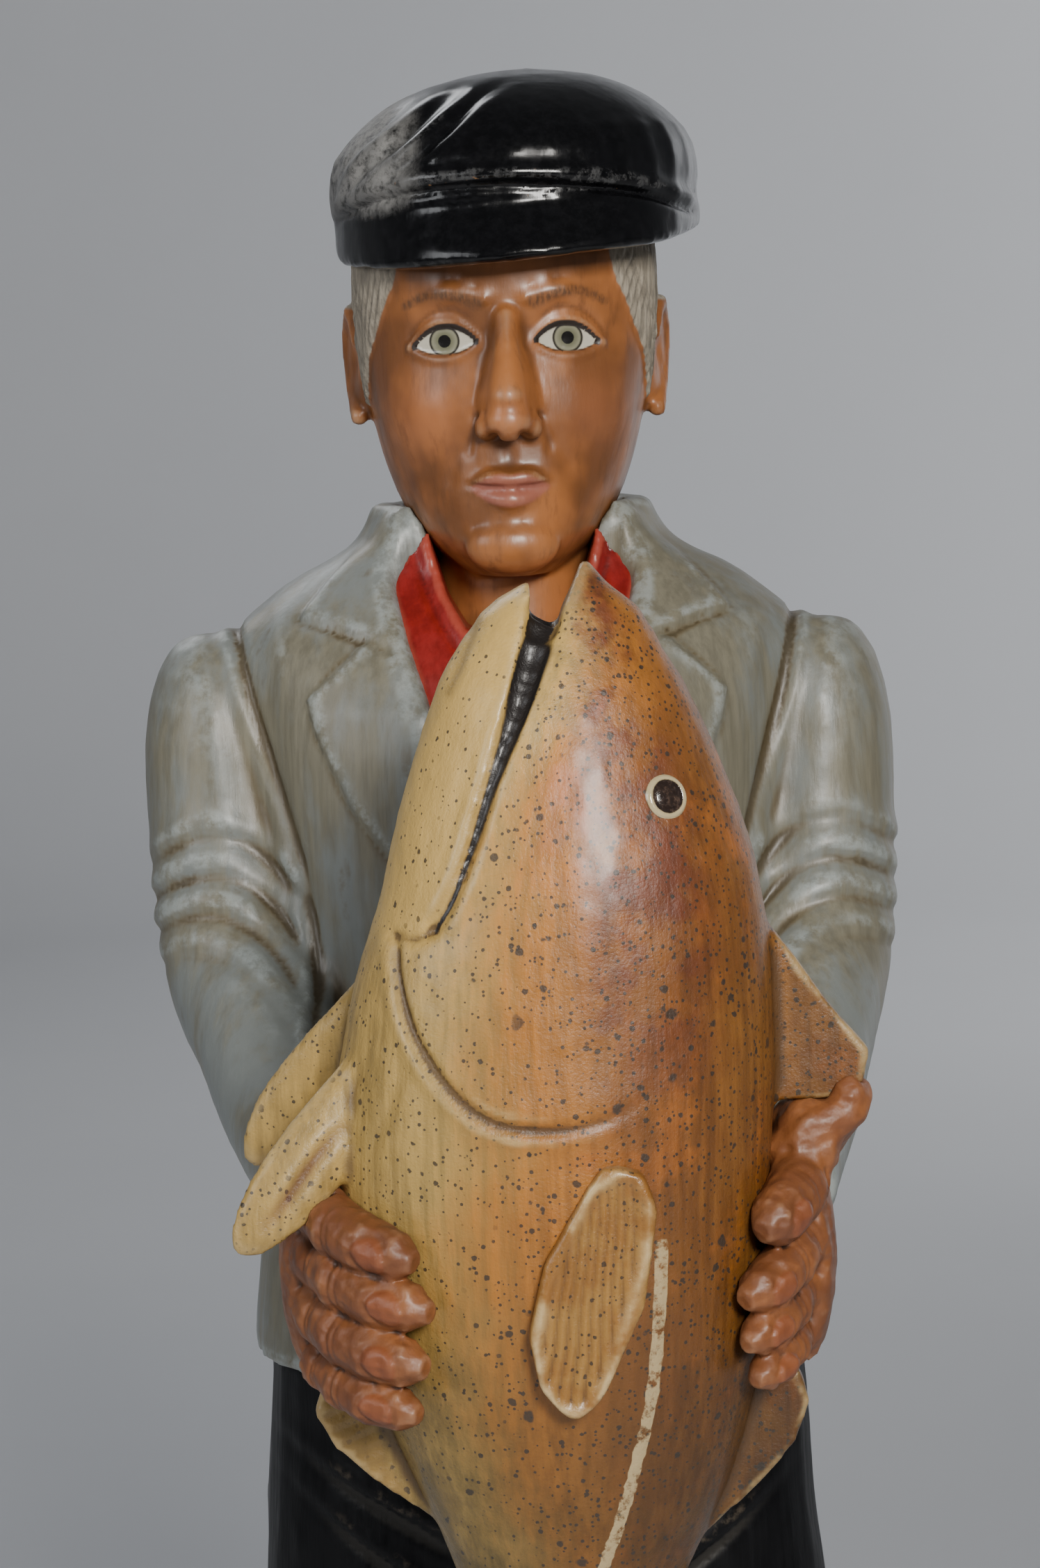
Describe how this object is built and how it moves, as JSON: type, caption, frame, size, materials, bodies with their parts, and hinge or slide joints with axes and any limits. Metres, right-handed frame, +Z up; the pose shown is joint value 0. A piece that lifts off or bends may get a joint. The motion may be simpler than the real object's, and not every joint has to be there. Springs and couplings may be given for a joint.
{
  "type": "carved wooden figurine",
  "caption": "Carved and painted wooden figure of a standing fisherman in a black cap and grey jacket, holding a large cod upright in front of the chest with both hands.",
  "frame": {"origin": "centre of the plinth's underside", "axes": "+Z up, -Y the way the figure faces, +X the figure's left hand side"},
  "size_m": [0.176, 0.2366, 0.5594],
  "materials": {
    "plinth_wood": "stained and waxed",
    "boot_black": "semi-gloss painted wood",
    "trouser_black": "satin painted wood",
    "jacket_grey": "satin painted and varnished wood",
    "shirt_red": "satin painted wood",
    "skin_paint": "stained and varnished wood",
    "cap_black": "gloss painted wood",
    "fish_paint": "mottled paint under varnish",
    "fish_eye": "gloss paint",
    "fin_paint": "mottled paint under varnish",
    "bare_wood": "bare turned birch"
  },
  "bodies": {
    "root": {"plinth": "plinth_wood", "boot_right": "boot_black", "boot_left": "boot_black", "trousers": "trouser_black", "jacket": "jacket_grey", "shirt": "shirt_red", "head": "skin_paint", "cap_crown": "cap_black", "cap_peak": "cap_black", "upper_sleeve_right": "jacket_grey", "upper_sleeve_left": "jacket_grey", "fore_sleeve_right": "jacket_grey", "fore_sleeve_left": "jacket_grey", "hand_right": "skin_paint", "hand_left": "skin_paint", "fish_body": "fish_paint", "fish_eye_near": "fish_eye", "fish_eye_far": "fish_eye", "pectoral_fin_near": "fin_paint", "pectoral_fin_far": "fin_paint", "pelvic_fin_near": "fin_paint", "pelvic_fin_far": "fin_paint", "dorsal_fin_1": "fin_paint", "dorsal_fin_2": "fin_paint", "dorsal_fin_3": "fin_paint", "anal_fin_1": "fin_paint", "anal_fin_2": "fin_paint", "tail_fin": "fin_paint", "foot_dowels": "bare_wood", "ankle_dowels": "bare_wood", "waist_dowels": "bare_wood", "shoulder_dowels": "bare_wood", "elbow_dowels": "bare_wood", "wrist_dowels": "bare_wood", "palm_dowels": "bare_wood", "cap_dowel": "bare_wood"}
  },
  "joints": []
}
